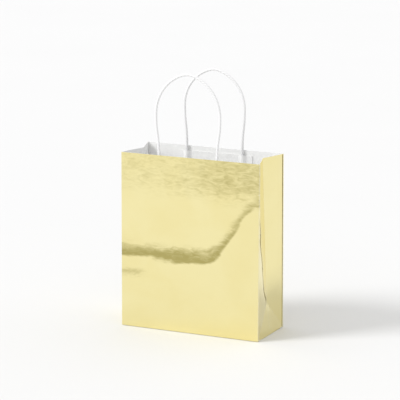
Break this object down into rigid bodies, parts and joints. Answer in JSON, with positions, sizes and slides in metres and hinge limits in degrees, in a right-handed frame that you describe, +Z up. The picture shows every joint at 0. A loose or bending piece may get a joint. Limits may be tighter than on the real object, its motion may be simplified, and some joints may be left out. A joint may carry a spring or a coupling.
{
  "type": "gift bag",
  "caption": "Small gold foil paper gift bag with folded side gussets, a flat glued bottom and twisted paper cord handles.",
  "frame": {"origin": "middle of the bag's bottom, on the surface it stands on", "axes": "+Z up; -Y out of the front panel; X along the bag's width"},
  "size_m": [0.18, 0.076, 0.3121],
  "materials": {
    "gold_foil_paper": "satin metallic foil outside, plain white inside",
    "patch_paper": "matt white paper",
    "twisted_paper_cord": "matt white twisted paper"
  },
  "bodies": {
    "base": {"outer_bottom_flap": "gold_foil_paper", "inner_bottom_flap": "gold_foil_paper", "right_end_tuck": "gold_foil_paper", "left_end_tuck": "gold_foil_paper"},
    "front": {"front_panel": "gold_foil_paper", "front_patch_backing": "patch_paper", "front_patch_cover": "patch_paper", "front_handle_end_a": "twisted_paper_cord", "front_handle_end_b": "twisted_paper_cord"},
    "back": {"back_panel": "gold_foil_paper", "side_seam_flap": "gold_foil_paper", "back_patch_backing": "patch_paper", "back_patch_cover": "patch_paper", "back_handle_end_a": "twisted_paper_cord", "back_handle_end_b": "twisted_paper_cord"},
    "right_gusset_front": {"right_gusset_front_half": "gold_foil_paper"},
    "right_gusset_rear": {"right_gusset_rear_half": "gold_foil_paper"},
    "left_gusset_front": {"left_gusset_front_half": "gold_foil_paper"},
    "left_gusset_rear": {"left_gusset_rear_half": "gold_foil_paper"},
    "right_foot": {"right_gusset_foot": "gold_foil_paper"},
    "left_foot": {"left_gusset_foot": "gold_foil_paper"},
    "front_handle": {"front_handle_loop": "twisted_paper_cord"},
    "back_handle": {"back_handle_loop": "twisted_paper_cord"}
  },
  "joints": [
    {"name": "front_lean", "type": "hinge", "parent": "base", "child": "front", "pos_m": [0, -0.038, 0], "axis": [-1, 0, 0], "range_deg": [0, 4.94]},
    {"name": "back_lean", "type": "hinge", "parent": "base", "child": "back", "pos_m": [0, 0.038, 0], "axis": [1, 0, 0], "range_deg": [0, 4.94]},
    {"name": "right_gusset_front_fold", "type": "hinge", "parent": "base", "child": "right_gusset_front", "pos_m": [0.08144, -0.03788, 0], "axis": [-0.0653, 0.0437, 0.9969], "range_deg": [0, 43.3]},
    {"name": "right_gusset_rear_fold", "type": "hinge", "parent": "base", "child": "right_gusset_rear", "pos_m": [0.08144, 0.03788, 0], "axis": [0.0653, 0.0437, -0.9969], "range_deg": [0, 43.3]},
    {"name": "left_gusset_front_fold", "type": "hinge", "parent": "base", "child": "left_gusset_front", "pos_m": [-0.08144, -0.03788, 0], "axis": [-0.0653, -0.0437, -0.9969], "range_deg": [0, 43.3]},
    {"name": "left_gusset_rear_fold", "type": "hinge", "parent": "base", "child": "left_gusset_rear", "pos_m": [-0.08144, 0.03788, 0], "axis": [0.0653, -0.0437, 0.9969], "range_deg": [0, 43.3]},
    {"name": "right_foot_lean", "type": "hinge", "parent": "base", "child": "right_foot", "pos_m": [0.0897, 0, 0.0014], "axis": [0, -1, 0], "range_deg": [0, 16.6]},
    {"name": "left_foot_lean", "type": "hinge", "parent": "base", "child": "left_foot", "pos_m": [-0.0897, 0, 0.0014], "axis": [0, 1, 0], "range_deg": [0, 16.6]},
    {"name": "front_handle_swing", "type": "hinge", "parent": "front", "child": "front_handle", "pos_m": [0, -0.03386, 0.21518], "axis": [1, 0, 0], "range_deg": [-2.4, 100]},
    {"name": "back_handle_swing", "type": "hinge", "parent": "back", "child": "back_handle", "pos_m": [0, 0.03386, 0.21518], "axis": [-1, 0, 0], "range_deg": [-2.4, 100]}
  ],
  "couplings": [
    {"joint": "back_lean", "follows": "front_lean", "ratio": 1},
    {"joint": "right_gusset_front_fold", "follows": "front_lean", "ratio": 8.76},
    {"joint": "right_gusset_rear_fold", "follows": "front_lean", "ratio": 8.76},
    {"joint": "left_gusset_front_fold", "follows": "front_lean", "ratio": 8.76},
    {"joint": "left_gusset_rear_fold", "follows": "front_lean", "ratio": 8.76},
    {"joint": "right_foot_lean", "follows": "front_lean", "ratio": 3.35},
    {"joint": "left_foot_lean", "follows": "front_lean", "ratio": 3.35}
  ]
}
